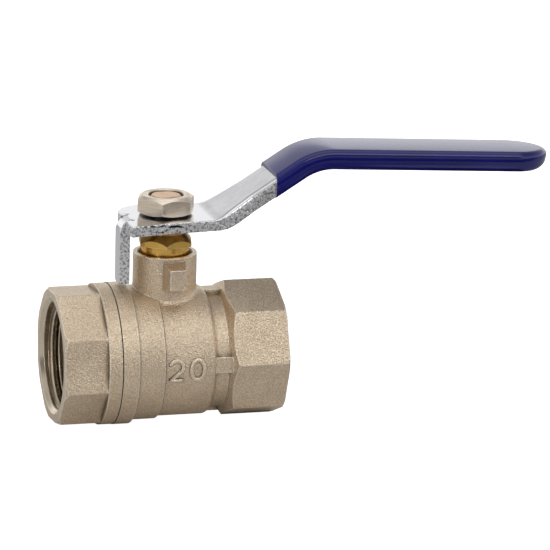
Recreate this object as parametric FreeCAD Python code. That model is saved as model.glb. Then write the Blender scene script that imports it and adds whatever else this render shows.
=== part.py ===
"""Two-piece threaded ball valve for 3/4 inch pipe, with a bent lever handle.

Millimetres. The origin is the ball's centre, where the pipe axis (X) crosses
the stem axis (Z). +X points to the body's own threaded end and along the
lever, +Z up the stem. The valve is modelled open.
"""
import FreeCAD, Part
import math
import os

Vec = FreeCAD.Vector
ALONG_X = Vec(1, 0, 0)
ALONG_Y = Vec(0, 1, 0)
ALONG_Z = Vec(0, 0, 1)
CENTRE = Vec(0, 0, 0)

# Modelling helpers: how far cutters run past a face, and how closely edges are matched
OVERRUN = 1.0
MATCH = 0.01

# Pipe thread and wrench sizes
THREAD_MAJOR_R = 13.22
THREAD_LENGTH = 13.5
MOUTH_CHAMFER = 1.0
WRENCH_FLATS = 32.0
WRENCH_SIDES = 8
WRENCH_ROUND_R = 17.4
WRENCH_RIDGE_R = 0.6

# Ball, seats and flow passage
BALL_R = 13.25
BORE_R = 9.25
SLOT_WIDTH = 4.2
SLOT_FLOOR_Z = 10.3
PASSAGE_R = 9.5
SEAT_NEAR_X = 6.6
SEAT_FAR_X = 10.0
SEAT_R = 12.4
SEAT_BALL_GAP = 0.06
POCKET_R = 12.45

# Body shell
BODY_END_X = 28.0
PARTING_X = -14.0
CHAMBER_R = 13.6
SOCKET_R = 14.85
SOCKET_FLOOR_X = -6.0
RIM_R = 17.5
RIM_END_X = -9.8
SHELL_STEP_R = 16.6
SHELL_STEP_X = -3.2
SHELL_R = 16.0
SHELL_END_X = 9.9
SHELL_END_ROUND = 1.3
RIM_ROUND = 0.15
COLLAR_R = 14.45
COLLAR_END_X = 13.2
BODY_WRENCH_X = 15.2
BODY_WRENCH_TURN = 0.0
BODY_END_ROUND = 0.7
SHOULDER_EDGE_R = 0.15
LUG_WIDTH = 4.0
LUG_R = 15.5
LUG_START_X = 7.5
LUG_END_X = 15.0

# End cap
CAP_END_X = -28.1
CAP_WRENCH_END_X = -17.4
CAP_WRENCH_TURN = 17.7
CAP_END_ROUND = 1.0
CAP_RING_R = 17.4
SPIGOT_R = 14.8
GASKET_THICKNESS = 0.6
GASKET_INNER_R = 13.7

# Neck, stops and stem hole
NECK_R = 7.85
NECK_TOP_Z = 25.3
NECK_FILLET = 1.6
NECK_RIM_CHAMFER = 0.35
BOSS_REACH_Y = 11.8
BOSS_BOTTOM_Z = 18.2
BOSS_TOP_Z = 23.3
BOSS_DRAFT = 1.1
BOSS_EDGE_R = 0.15
FRONT_BOSS_LEFT_X = -1.4
BOSS_WIDTH = 3.9
CLOSED_STOP_X = 0.15
STEM_HOLE_R = 4.05
STEM_POCKET_R = 5.35
STEM_POCKET_TOP_Z = 15.9
PACKING_FLOOR_Z = 19.3
PACKING_BORE_R = 6.0
GLAND_BORE_START_Z = 22.0
GLAND_BORE_R = 6.5

# Stem
STEM_R = 4.0
STEM_TOP_Z = 39.5
STEM_FLATS = 6.4
SHOULDER_R = 5.2
SHOULDER_BOTTOM_Z = 13.4
SHOULDER_TOP_Z = 15.2
TANG_THICKNESS = 4.0
TANG_LENGTH = 8.0
TANG_BOTTOM_Z = 10.45
O_RING_SECTION_R = 0.6
O_RING_Z = 17.6
O_RING_GROOVE_HEIGHT = 1.5
O_RING_WALL_GAP = 0.02
STEM_CHAMFER = 0.5

# Packing and gland nut
PACKING_R = 5.97
PACKING_HOLE_R = 4.04
PACKING_TOP_Z = 22.4
PACKING_V_DROP = 0.5
GLAND_R = 6.45
GLAND_COLLAR_R = 5.9
GLAND_THREAD_TOP_Z = 24.4
GLAND_HOLE_R = 4.2
GLAND_HEX_FLATS = 12.5
GLAND_HEX_BOTTOM_Z = 27.3
GLAND_HEX_TOP_Z = 30.3
GLAND_HEX_TURN = 259.9
GLAND_HEX_FACE_R = 5.0
GLAND_HEX_CHAMFER_DEG = 45.0

# Lever plate
PLATE = 2.7
LEVER_BOTTOM_Z = 32.1
LEVER_TOP_Z = LEVER_BOTTOM_Z + PLATE
HUB_LEFT_X = -11.3
HUB_BACK_Y = 10.0
HUB_FRONT_CORNER_Y = -12.2
HUB_FRONT_Y = -10.4
HUB_TAPER_X = -1.5
BEND_HALF_WIDTH = 8.8
BEND_X = 12.6
ARM_HALF_WIDTH = 7.45
ARM_START_X = 20.0
ARM_TIP_X = 95.4
ARM_TIP_R = 7.4
HUB_CORNER_R = 8.0
LOW_BEND_X = 11.0
LOW_BEND_R = 5.0
LOW_EDGE_BEND_R = 12.0
HIGH_BEND_X = 35.6
HIGH_BEND_R = 16.5
INCLINE_DEG = 32.3
DROOP_DEG = 2.9
ARM_DEPTH = 3.9
EDGE_WIDTH = 1.7
HOLE_CLEARANCE = 0.05

# Stop tab of the lever
TAB_OUTER_X = -12.6
TAB_FRONT_Y = -5.0
TAB_BACK_Y = 0.0
TAB_BOTTOM_Z = 18.6
TAB_BEND_R = 3.5
TAB_CORNER_R = 1.2
NOTCH_WIDTH = 0.8

# Grip sleeve
GRIP_SKIN = 0.45
GRIP_MOUTH_X = 25.9
GRIP_HALF_WIDTH = 7.9
GRIP_TIP_X = 97.3
GRIP_TIP_R = 7.5
GRIP_EDGE_R = 1.3

# Lever nut
NUT_FLATS = 13.0
NUT_HEIGHT = 4.9
NUT_TURN = 250.0
NUT_FACE_R = 5.9
NUT_CHAMFER_DEG = 33.0
NUT_WASHER_FACE_R = 6.1
NUT_WASHER_FACE = 0.4
NUT_FOOT_R = 6.3
NUT_FOOT_CHAMFER_DEG = 30.0
NUT_HOLE_R = 4.05
NUT_SINK_R = 4.6


def tube(inner_r, outer_r, start, end, axis=ALONG_X):
    """Plain ring about the X or Z axis, from start to end along it."""
    outer = Part.makeCylinder(outer_r, end - start, axis * start, axis)
    return outer.cut(Part.makeCylinder(inner_r, end - start, axis * start, axis))


def turned(profile, axis=ALONG_X):
    """Solid of revolution from a closed outline of (along, radius) points."""
    across = ALONG_Z if axis == ALONG_X else ALONG_X
    points = [axis * along + across * radius for along, radius in profile]
    face = Part.Face(Part.makePolygon(points + points[:1]))
    return face.revolve(CENTRE, axis, 360)


def rounded_outline(corners):
    """Closed wire in the XZ plane from (x, z, radius) corners, with tangent arcs."""
    starts = []
    ends = []
    arcs = []
    count = len(corners)
    for index, (x, z, radius) in enumerate(corners):
        here = Vec(x, 0, z)
        before = Vec(corners[index - 1][0], 0, corners[index - 1][1])
        after = Vec(corners[(index + 1) % count][0], 0, corners[(index + 1) % count][1])
        back = (before - here).normalize()
        ahead = (after - here).normalize()
        half_angle = back.getAngle(ahead) / 2
        trim = radius / math.tan(half_angle)
        middle = (back + ahead).normalize()
        depth = radius / math.sin(half_angle) - radius
        starts.append(here + back * trim)
        ends.append(here + ahead * trim)
        arcs.append(here + middle * depth)
    edges = []
    for index in range(count):
        if corners[index][2] > 0:
            edges.append(Part.Arc(starts[index], arcs[index], ends[index]).toShape())
        edges.append(Part.LineSegment(ends[index], starts[(index + 1) % count]).toShape())
    return Part.Wire(edges)


def plan_solid(corners, bottom_z, top_z):
    """Upright prism over a rounded plan outline of (x, y, radius) corners."""
    flat = Part.Face(rounded_outline(corners))
    flat.rotate(CENTRE, ALONG_X, -90)
    flat.translate(Vec(0, 0, bottom_z))
    return flat.extrude(Vec(0, 0, top_z - bottom_z))


def polygon_prism(sides, flats, turn_deg, start, end, axis):
    """Regular prism about an axis; turn_deg places its first corner."""
    radius = flats / 2 / math.cos(math.pi / sides)
    first = ALONG_Z if axis == ALONG_X else ALONG_X
    second = axis.cross(first)
    points = []
    for index in range(sides):
        angle = math.radians(turn_deg) + 2 * math.pi * index / sides
        points.append(axis * start + (first * math.cos(angle) + second * math.sin(angle)) * radius)
    return Part.Face(Part.makePolygon(points + points[:1])).extrude(axis * (end - start))


def octagon(turn_deg, start, end):
    """Octagonal prism along the pipe axis with rounded long edges."""
    prism = polygon_prism(WRENCH_SIDES, WRENCH_FLATS, turn_deg, start, end, ALONG_X)
    ridges = [edge for edge in prism.Edges if edge.BoundBox.XLength > (end - start) / 2]
    return prism.makeFillet(WRENCH_RIDGE_R, ridges)


def hexagon(flats, turn_deg, bottom, top, face_r, chamfer_deg):
    """Upright hexagon blank whose top is turned down by a cone to a round face."""
    corner_r = flats / math.sqrt(3)
    cone_start = top - (corner_r - face_r) * math.tan(math.radians(chamfer_deg))
    blank = polygon_prism(6, flats, turn_deg, bottom, top, ALONG_Z)
    profile = [(bottom, 0), (bottom, corner_r), (cone_start, corner_r), (top, face_r), (top, 0)]
    return blank.common(turned(profile, ALONG_Z))


def circle_edges(shape, along_x, radius):
    """Circular edges of the shape about the X axis, at one place and radius."""
    found = []
    for edge in shape.Edges:
        curve = edge.Curve
        if not isinstance(curve, Part.Circle):
            continue
        if abs(curve.Radius - radius) < MATCH and abs(curve.Center.x - along_x) < MATCH:
            found.append(edge)
    return found


def shell_rim():
    """Raised rim and the step beside it, around the socket that takes the cap."""
    rim = turned([(PARTING_X, 0), (PARTING_X, RIM_R), (RIM_END_X, RIM_R), (RIM_END_X, SHELL_STEP_R),
                  (SHELL_STEP_X, SHELL_STEP_R), (SHELL_STEP_X, 0)])
    corners = circle_edges(rim, PARTING_X, RIM_R) + circle_edges(rim, RIM_END_X, RIM_R)
    return rim.makeFillet(RIM_ROUND, corners + circle_edges(rim, SHELL_STEP_X, SHELL_STEP_R))


def barrel_and_neck():
    """Barrel and neck joined by a fillet that follows their saddle-shaped seam."""
    barrel = Part.makeCylinder(SHELL_R, SHELL_END_X - RIM_END_X, Vec(RIM_END_X, 0, 0), ALONG_X)
    barrel = barrel.makeFillet(SHELL_END_ROUND, circle_edges(barrel, SHELL_END_X, SHELL_R))
    neck = Part.makeCylinder(NECK_R, NECK_TOP_Z)
    joined = barrel.fuse(neck)
    seam = []
    for edge in joined.Edges:
        start = edge.valueAt(edge.FirstParameter)
        middle = edge.valueAt((edge.FirstParameter + edge.LastParameter) / 2)
        on_neck = abs(math.hypot(middle.x, middle.y) - NECK_R) < MATCH
        if on_neck and 0 < middle.z < SHELL_R + MATCH and abs(start.z - middle.z) > MATCH:
            seam.append(edge)
    return joined.makeFillet(NECK_FILLET, seam)


def body_wrench_end():
    """Octagonal end, turned down by cones at its inner side and its end face."""
    prism = octagon(BODY_WRENCH_TURN, COLLAR_END_X, BODY_END_X)
    profile = [(COLLAR_END_X, 0), (COLLAR_END_X, COLLAR_R), (BODY_WRENCH_X, WRENCH_ROUND_R),
               (BODY_END_X - BODY_END_ROUND, WRENCH_ROUND_R),
               (BODY_END_X, WRENCH_ROUND_R - BODY_END_ROUND), (BODY_END_X, 0)]
    shape = prism.common(turned(profile))
    shoulder = []
    for edge in shape.Edges:
        inside = COLLAR_END_X + MATCH < edge.BoundBox.XMin and edge.BoundBox.XMax < BODY_WRENCH_X
        if inside and not isinstance(edge.Curve, Part.Circle):
            shoulder.append(edge)
    return shape.makeFillet(SHOULDER_EDGE_R, shoulder)


def stop_boss(left_x, near_face_draft, side):
    """Cast block on the neck; side is -1 for the front and +1 for the back."""
    outer = [(left_x, BOSS_BOTTOM_Z), (left_x + BOSS_WIDTH, BOSS_BOTTOM_Z),
             (left_x + BOSS_WIDTH, BOSS_TOP_Z), (left_x, BOSS_TOP_Z)]
    root = [(left_x - near_face_draft, BOSS_BOTTOM_Z - BOSS_DRAFT),
            (left_x + BOSS_WIDTH + BOSS_DRAFT, BOSS_BOTTOM_Z - BOSS_DRAFT),
            (left_x + BOSS_WIDTH + BOSS_DRAFT, BOSS_TOP_Z + BOSS_DRAFT),
            (left_x - near_face_draft, BOSS_TOP_Z + BOSS_DRAFT)]
    wires = []
    for y, corners in ((side * BOSS_REACH_Y, outer), (side * (NECK_R - OVERRUN), root)):
        points = [Vec(x, y, z) for x, z in corners]
        wires.append(Part.makePolygon(points + points[:1]))
    block = Part.makeLoft(wires, True, True)
    face_edges = [edge for edge in block.Edges if abs(edge.BoundBox.Center.y - side * BOSS_REACH_Y) < MATCH]
    return block.makeFillet(BOSS_EDGE_R, face_edges)


def body_cavity():
    """Everything hollow inside the body: sockets, chamber, port and stem bores."""
    port_floor = BODY_END_X - THREAD_LENGTH
    along_pipe = turned([
        (PARTING_X - OVERRUN, 0), (PARTING_X - OVERRUN, SOCKET_R), (SOCKET_FLOOR_X, SOCKET_R),
        (SOCKET_FLOOR_X, CHAMBER_R), (SEAT_NEAR_X, CHAMBER_R), (SEAT_NEAR_X, POCKET_R),
        (SEAT_FAR_X, POCKET_R), (SEAT_FAR_X, PASSAGE_R), (port_floor, PASSAGE_R),
        (port_floor, THREAD_MAJOR_R), (BODY_END_X - MOUTH_CHAMFER, THREAD_MAJOR_R),
        (BODY_END_X + OVERRUN, THREAD_MAJOR_R + MOUTH_CHAMFER + OVERRUN), (BODY_END_X + OVERRUN, 0)])
    up_stem = turned([
        (0, 0), (0, STEM_POCKET_R), (STEM_POCKET_TOP_Z, STEM_POCKET_R), (STEM_POCKET_TOP_Z, STEM_HOLE_R),
        (PACKING_FLOOR_Z, STEM_HOLE_R), (PACKING_FLOOR_Z, PACKING_BORE_R),
        (GLAND_BORE_START_Z, PACKING_BORE_R), (GLAND_BORE_START_Z, GLAND_BORE_R),
        (NECK_TOP_Z - NECK_RIM_CHAMFER, GLAND_BORE_R),
        (NECK_TOP_Z + OVERRUN, GLAND_BORE_R + NECK_RIM_CHAMFER + OVERRUN),
        (NECK_TOP_Z + OVERRUN, 0)], ALONG_Z)
    return along_pipe.fuse(up_stem)


def body():
    """Cast body: barrel, neck, stop bosses, collar with lugs, and octagonal end."""
    shape = barrel_and_neck().fuse(shell_rim())
    shape = shape.fuse(Part.makeCylinder(COLLAR_R, COLLAR_END_X - RIM_END_X, Vec(RIM_END_X, 0, 0), ALONG_X))
    shape = shape.fuse(body_wrench_end())
    for quarter in range(4):
        lug = Part.makeBox(LUG_END_X - LUG_START_X, LUG_WIDTH, LUG_R, Vec(LUG_START_X, -LUG_WIDTH / 2, 0))
        lug.rotate(CENTRE, ALONG_X, 90 * quarter)
        shape = shape.fuse(lug)
    shape = shape.fuse(stop_boss(FRONT_BOSS_LEFT_X, BOSS_DRAFT, -1))
    shape = shape.fuse(stop_boss(CLOSED_STOP_X, 0, 1))
    return shape.cut(body_cavity()).removeSplitter()


def end_cap():
    """Octagonal cap with a ring flange, a threaded port and a spigot for the seat."""
    prism = octagon(CAP_WRENCH_TURN, CAP_END_X, CAP_WRENCH_END_X)
    cone = turned([(CAP_END_X, 0), (CAP_END_X, WRENCH_ROUND_R - CAP_END_ROUND),
                   (CAP_END_X + CAP_END_ROUND, WRENCH_ROUND_R),
                   (CAP_WRENCH_END_X, WRENCH_ROUND_R), (CAP_WRENCH_END_X, 0)])
    ring = Part.makeCylinder(CAP_RING_R, PARTING_X - CAP_WRENCH_END_X, Vec(CAP_WRENCH_END_X, 0, 0), ALONG_X)
    corners = circle_edges(ring, PARTING_X, CAP_RING_R) + circle_edges(ring, CAP_WRENCH_END_X, CAP_RING_R)
    ring = ring.makeFillet(RIM_ROUND, corners)
    spigot = Part.makeCylinder(SPIGOT_R, -SEAT_NEAR_X - PARTING_X, Vec(PARTING_X, 0, 0), ALONG_X)
    port_floor = CAP_END_X + THREAD_LENGTH
    hollow = turned([
        (CAP_END_X - OVERRUN, 0), (CAP_END_X - OVERRUN, THREAD_MAJOR_R + MOUTH_CHAMFER + OVERRUN),
        (CAP_END_X + MOUTH_CHAMFER, THREAD_MAJOR_R), (port_floor, THREAD_MAJOR_R),
        (port_floor, PASSAGE_R), (-SEAT_FAR_X, PASSAGE_R), (-SEAT_FAR_X, POCKET_R),
        (0, POCKET_R), (0, 0)])
    return prism.common(cone).fuse(ring).fuse(spigot).cut(hollow).removeSplitter()


def ball():
    """Ball with a straight bore and a slot across its top, at right angles to the bore."""
    sphere = Part.makeSphere(BALL_R)
    bore = Part.makeCylinder(BORE_R, 2 * BALL_R, Vec(-BALL_R, 0, 0), ALONG_X)
    slot = Part.makeBox(SLOT_WIDTH, 2 * BALL_R, BALL_R, Vec(-SLOT_WIDTH / 2, -BALL_R, SLOT_FLOOR_Z))
    return sphere.cut(bore).cut(slot)


def seat_ring(side):
    """Seat ring with a spherical face; side is +1 at the body end, -1 at the cap."""
    ring = tube(PASSAGE_R, SEAT_R, SEAT_NEAR_X, SEAT_FAR_X)
    ring = ring.cut(Part.makeSphere(BALL_R + SEAT_BALL_GAP))
    if side < 0:
        ring.rotate(CENTRE, ALONG_Z, 180)
    return ring


def body_joint_gasket():
    """Flat gasket squeezed between the cap's spigot and the body's inner shoulder."""
    return tube(GASKET_INNER_R, SPIGOT_R, SOCKET_FLOOR_X - GASKET_THICKNESS, SOCKET_FLOOR_X)


def stem():
    """Blow-out-proof stem: tang, shoulder, O-ring groove, and flats up to its top."""
    groove_r = STEM_HOLE_R - O_RING_WALL_GAP - 2 * O_RING_SECTION_R
    groove_bottom = O_RING_Z - O_RING_GROOVE_HEIGHT / 2
    groove_top = O_RING_Z + O_RING_GROOVE_HEIGHT / 2
    shaft = turned([
        (SHOULDER_BOTTOM_Z, 0), (SHOULDER_BOTTOM_Z, SHOULDER_R), (SHOULDER_TOP_Z, SHOULDER_R),
        (SHOULDER_TOP_Z, STEM_R), (groove_bottom, STEM_R), (groove_bottom, groove_r),
        (groove_top, groove_r), (groove_top, STEM_R), (STEM_TOP_Z - STEM_CHAMFER, STEM_R),
        (STEM_TOP_Z, STEM_R - STEM_CHAMFER), (STEM_TOP_Z, 0)], ALONG_Z)
    for side in (-1, 1):
        edge_y = STEM_FLATS / 2 if side > 0 else -STEM_FLATS / 2 - STEM_R
        height = STEM_TOP_Z - LEVER_BOTTOM_Z
        shaft = shaft.cut(Part.makeBox(2 * STEM_R, STEM_R, height, Vec(-STEM_R, edge_y, LEVER_BOTTOM_Z)))
    tang = Part.makeBox(TANG_THICKNESS, TANG_LENGTH, SHOULDER_TOP_Z - TANG_BOTTOM_Z,
                        Vec(-TANG_THICKNESS / 2, -TANG_LENGTH / 2, TANG_BOTTOM_Z))
    return shaft.fuse(tang).removeSplitter()


def stem_thrust_washer():
    """Low-friction washer between the stem's shoulder and the body."""
    return tube(STEM_HOLE_R, SHOULDER_R, SHOULDER_TOP_Z, STEM_POCKET_TOP_Z, ALONG_Z)


def stem_o_ring():
    """O-ring in the stem's groove."""
    ring_r = STEM_HOLE_R - O_RING_WALL_GAP - O_RING_SECTION_R
    return Part.makeTorus(ring_r, O_RING_SECTION_R, Vec(0, 0, O_RING_Z), ALONG_Z)


def packing(bottom, top, bottom_drop, top_drop):
    """Packing ring whose faces dip by the given drops at mid-width, as a V."""
    middle_r = (PACKING_HOLE_R + PACKING_R) / 2
    return turned([(bottom, PACKING_HOLE_R), (bottom - bottom_drop, middle_r), (bottom, PACKING_R),
                   (top, PACKING_R), (top - top_drop, middle_r), (top, PACKING_HOLE_R)], ALONG_Z)


def gland_nut():
    """Gland nut: round threaded shank that presses the packing, under a hexagon."""
    shank = turned([(PACKING_TOP_Z, 0), (PACKING_TOP_Z, GLAND_R), (GLAND_THREAD_TOP_Z, GLAND_R),
                    (GLAND_THREAD_TOP_Z, GLAND_COLLAR_R), (GLAND_HEX_BOTTOM_Z, GLAND_COLLAR_R),
                    (GLAND_HEX_BOTTOM_Z, 0)], ALONG_Z)
    head = hexagon(GLAND_HEX_FLATS, GLAND_HEX_TURN, GLAND_HEX_BOTTOM_Z, GLAND_HEX_TOP_Z,
                   GLAND_HEX_FACE_R, GLAND_HEX_CHAMFER_DEG)
    hole = Part.makeCylinder(GLAND_HOLE_R, NECK_TOP_Z, Vec(0, 0, PACKING_TOP_Z))
    return shank.fuse(head).cut(hole).removeSplitter()


def lever_outline(skin, hub_depth, arm_depth, low_radius):
    """Side outline of the bent plate: skin above its top face, and two depths below it."""
    incline = math.radians(INCLINE_DEG)
    droop = math.radians(DROOP_DEG)
    high_half = (incline + droop) / 2
    high_tilt = incline - high_half
    high_z = LEVER_TOP_Z + (HIGH_BEND_X - LOW_BEND_X) * math.tan(incline)
    end_x = GRIP_TIP_X + OVERRUN
    end_z = high_z - (end_x - HIGH_BEND_X) * math.tan(droop)
    corners = []
    for hub_rise, arm_rise, low_r, order in ((skin, skin, LOW_BEND_R - skin, 1),
                                             (-hub_depth, -arm_depth, low_radius, -1)):
        low_x = LOW_BEND_X + hub_rise / math.tan(incline) - arm_rise / math.sin(incline)
        high_reach = arm_rise / math.cos(high_half)
        row = [(HUB_LEFT_X, LEVER_TOP_Z + hub_rise, 0),
               (low_x, LEVER_TOP_Z + hub_rise, low_r),
               (HIGH_BEND_X - high_reach * math.sin(high_tilt), high_z + high_reach * math.cos(high_tilt),
                HIGH_BEND_R + arm_rise),
               (end_x, end_z + arm_rise / math.cos(droop), 0)]
        corners.extend(row[::order])
    return corners


def bent_slab(skin, hub_depth, arm_depth, low_radius):
    """Slab, wider than the lever, that follows the lever's side outline."""
    face = Part.Face(rounded_outline(lever_outline(skin, hub_depth, arm_depth, low_radius)))
    face.translate(Vec(0, HUB_FRONT_CORNER_Y, 0))
    return face.extrude(Vec(0, -2 * HUB_FRONT_CORNER_Y, 0))


def lever_plan():
    """Plan outline of the lever: wide hub, tapering into the arm, rounded at the tip."""
    corners = [(HUB_LEFT_X, HUB_FRONT_CORNER_Y, 0), (HUB_TAPER_X, HUB_FRONT_Y, 0),
               (BEND_X, -BEND_HALF_WIDTH, 0), (ARM_START_X, -ARM_HALF_WIDTH, 0),
               (ARM_TIP_X, -ARM_HALF_WIDTH, ARM_TIP_R), (ARM_TIP_X, ARM_HALF_WIDTH, ARM_TIP_R),
               (ARM_START_X, ARM_HALF_WIDTH, 0), (BEND_X, BEND_HALF_WIDTH, 0),
               (0, HUB_BACK_Y, 0), (HUB_LEFT_X, HUB_BACK_Y, HUB_CORNER_R)]
    return plan_solid(corners, TAB_BOTTOM_Z, 2 * LEVER_TOP_Z)


def stop_tab():
    """Tab bent down from the hub's left end, with a rounded lower corner."""
    inner_x = TAB_OUTER_X + PLATE
    root_x = TAB_OUTER_X + TAB_BEND_R
    side = Part.Face(rounded_outline([
        (TAB_OUTER_X, TAB_BOTTOM_Z, 0), (inner_x, TAB_BOTTOM_Z, 0),
        (inner_x, LEVER_BOTTOM_Z, TAB_BEND_R - PLATE), (root_x + NOTCH_WIDTH, LEVER_BOTTOM_Z, 0),
        (root_x + NOTCH_WIDTH, LEVER_TOP_Z, 0), (TAB_OUTER_X, LEVER_TOP_Z, TAB_BEND_R)]))
    side.translate(Vec(0, TAB_FRONT_Y, 0))
    solid = side.extrude(Vec(0, TAB_BACK_Y - TAB_FRONT_Y, 0))
    corner = [edge for edge in solid.Edges
              if abs(edge.BoundBox.YMin - TAB_BACK_Y) < MATCH and edge.BoundBox.ZMax < TAB_BOTTOM_Z + MATCH]
    return solid.makeFillet(TAB_CORNER_R, corner)


def lever():
    """Pressed steel lever with a double-D hole, turned-down arm edges and a stop tab."""
    plan = lever_plan()
    plate = bent_slab(0, PLATE, PLATE, LOW_BEND_R + PLATE).common(plan)
    edges = bent_slab(0, PLATE, ARM_DEPTH, LOW_EDGE_BEND_R).common(plan)
    between = ARM_HALF_WIDTH - EDGE_WIDTH
    corner = Vec(-GRIP_TIP_X, -between, 0)
    edges = edges.cut(Part.makeBox(2 * GRIP_TIP_X, 2 * between, 2 * LEVER_TOP_Z, corner))
    shape = plate.fuse(edges)
    notch_x = TAB_OUTER_X + TAB_BEND_R
    for notch_y in (TAB_FRONT_Y - NOTCH_WIDTH, TAB_BACK_Y):
        shape = shape.cut(Part.makeBox(notch_x - HUB_LEFT_X, NOTCH_WIDTH, PLATE,
                                       Vec(HUB_LEFT_X, notch_y, LEVER_BOTTOM_Z)))
    shape = shape.cut(Part.makeBox(notch_x - HUB_LEFT_X, TAB_BACK_Y - TAB_FRONT_Y, PLATE,
                                   Vec(HUB_LEFT_X, TAB_FRONT_Y, LEVER_BOTTOM_Z)))
    shape = shape.fuse(stop_tab())
    hole = Part.makeCylinder(STEM_R + HOLE_CLEARANCE, PLATE, Vec(0, 0, LEVER_BOTTOM_Z))
    hole_width = STEM_FLATS + 2 * HOLE_CLEARANCE
    hole = hole.common(Part.makeBox(4 * STEM_R, hole_width, PLATE,
                                    Vec(-2 * STEM_R, -hole_width / 2, LEVER_BOTTOM_Z)))
    return shape.cut(hole).removeSplitter()


def lever_grip():
    """Dipped sleeve over the lever's arm; its mouth is an upright plane."""
    corners = [(GRIP_MOUTH_X, -GRIP_HALF_WIDTH, 0), (GRIP_TIP_X, -GRIP_HALF_WIDTH, GRIP_TIP_R),
               (GRIP_TIP_X, GRIP_HALF_WIDTH, GRIP_TIP_R), (GRIP_MOUTH_X, GRIP_HALF_WIDTH, 0)]
    slab = bent_slab(GRIP_SKIN, PLATE, ARM_DEPTH + GRIP_SKIN, LOW_EDGE_BEND_R)
    sleeve = slab.common(plan_solid(corners, LEVER_BOTTOM_Z, 2 * LEVER_TOP_Z))
    long_edges = []
    for edge in sleeve.Edges:
        at_mouth = edge.BoundBox.XMax < GRIP_MOUTH_X + MATCH
        upright = edge.BoundBox.ZLength > 2 * GRIP_EDGE_R and edge.BoundBox.XLength < GRIP_SKIN
        if not at_mouth and not upright:
            long_edges.append(edge)
    return sleeve.makeFillet(GRIP_EDGE_R, long_edges).cut(lever())


def lever_nut():
    """Hexagon nut with both ends turned to cones, a round washer face and a countersunk top."""
    top_z = LEVER_TOP_Z + NUT_HEIGHT
    flats_z = LEVER_TOP_Z + NUT_WASHER_FACE
    blank = hexagon(NUT_FLATS, NUT_TURN, flats_z, top_z, NUT_FACE_R, NUT_CHAMFER_DEG)
    corner_r = NUT_FLATS / math.sqrt(3)
    foot_height = (corner_r - NUT_FOOT_R) * math.tan(math.radians(NUT_FOOT_CHAMFER_DEG))
    blank = blank.common(turned([(flats_z, 0), (flats_z, NUT_FOOT_R), (flats_z + foot_height, corner_r),
                                 (top_z, corner_r), (top_z, 0)], ALONG_Z))
    washer_face = Part.makeCylinder(NUT_WASHER_FACE_R, NUT_WASHER_FACE, Vec(0, 0, LEVER_TOP_Z))
    blank = blank.fuse(washer_face)
    sink_depth = NUT_SINK_R - NUT_HOLE_R
    hollow = turned([(LEVER_TOP_Z, 0), (LEVER_TOP_Z, NUT_HOLE_R), (top_z - sink_depth, NUT_HOLE_R),
                     (top_z, NUT_SINK_R), (top_z, 0)], ALONG_Z)
    return blank.cut(hollow)


def packing_heights():
    """Heights of the faces between the three packing rings."""
    third = (PACKING_TOP_Z - PACKING_FLOOR_Z) / 3
    return [PACKING_FLOOR_Z + third * step for step in range(4)]


def main():
    floor_z, lower_z, upper_z, top_z = packing_heights()
    nodes = {
        "body": body(),
        "end_cap": end_cap(),
        "ball": ball(),
        "seat_ring_body_end": seat_ring(1),
        "seat_ring_cap_end": seat_ring(-1),
        "body_joint_gasket": body_joint_gasket(),
        "stem": stem(),
        "stem_thrust_washer": stem_thrust_washer(),
        "stem_o_ring": stem_o_ring(),
        "packing_bottom_adapter": packing(floor_z, lower_z, 0, PACKING_V_DROP),
        "packing_v_ring": packing(lower_z, upper_z, PACKING_V_DROP, PACKING_V_DROP),
        "packing_top_adapter": packing(upper_z, top_z, PACKING_V_DROP, 0),
        "gland_nut": gland_nut(),
        "lever": lever(),
        "lever_grip": lever_grip(),
        "lever_nut": lever_nut(),
    }
    os.makedirs("parts", exist_ok=True)
    for node, shape in nodes.items():
        box = shape.BoundBox
        print(node, "solids", len(shape.Solids), "valid", shape.isValid(), "volume %.1f" % shape.Volume,
              "x %.2f..%.2f" % (box.XMin, box.XMax), "z %.2f..%.2f" % (box.ZMin, box.ZMax))
        shape.exportStep("parts/%s.step" % node)


main()
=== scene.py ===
"""Looks of a two-piece threaded ball valve with a bent lever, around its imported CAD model.

Metres, in the CAD frame: the origin is the ball's centre, +X runs along the pipe
to the body's own end and along the lever, and +Z up the stem.
"""
import math

import bmesh
import bpy
import numpy as np
from mathutils import Matrix, Vector, noise


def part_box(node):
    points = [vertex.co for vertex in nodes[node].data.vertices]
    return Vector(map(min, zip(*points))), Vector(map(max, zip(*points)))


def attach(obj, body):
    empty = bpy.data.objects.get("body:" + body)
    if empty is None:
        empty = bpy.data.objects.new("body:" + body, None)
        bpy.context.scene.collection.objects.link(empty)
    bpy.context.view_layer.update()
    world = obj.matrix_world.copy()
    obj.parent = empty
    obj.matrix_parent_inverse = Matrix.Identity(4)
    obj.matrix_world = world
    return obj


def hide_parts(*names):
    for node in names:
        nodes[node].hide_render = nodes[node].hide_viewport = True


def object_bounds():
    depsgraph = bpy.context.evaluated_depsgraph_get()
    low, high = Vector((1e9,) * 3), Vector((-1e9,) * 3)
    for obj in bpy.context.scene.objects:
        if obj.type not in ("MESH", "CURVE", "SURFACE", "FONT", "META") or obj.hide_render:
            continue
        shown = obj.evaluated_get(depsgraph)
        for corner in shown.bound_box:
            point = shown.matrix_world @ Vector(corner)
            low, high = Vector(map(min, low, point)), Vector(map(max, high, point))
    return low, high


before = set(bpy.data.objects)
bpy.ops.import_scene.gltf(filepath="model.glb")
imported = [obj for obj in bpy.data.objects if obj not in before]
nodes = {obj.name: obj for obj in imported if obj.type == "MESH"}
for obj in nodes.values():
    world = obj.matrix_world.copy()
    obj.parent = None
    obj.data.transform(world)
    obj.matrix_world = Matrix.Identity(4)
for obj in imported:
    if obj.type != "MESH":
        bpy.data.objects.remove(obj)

cad_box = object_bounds()
scene = bpy.context.scene
MM = 0.001

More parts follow.
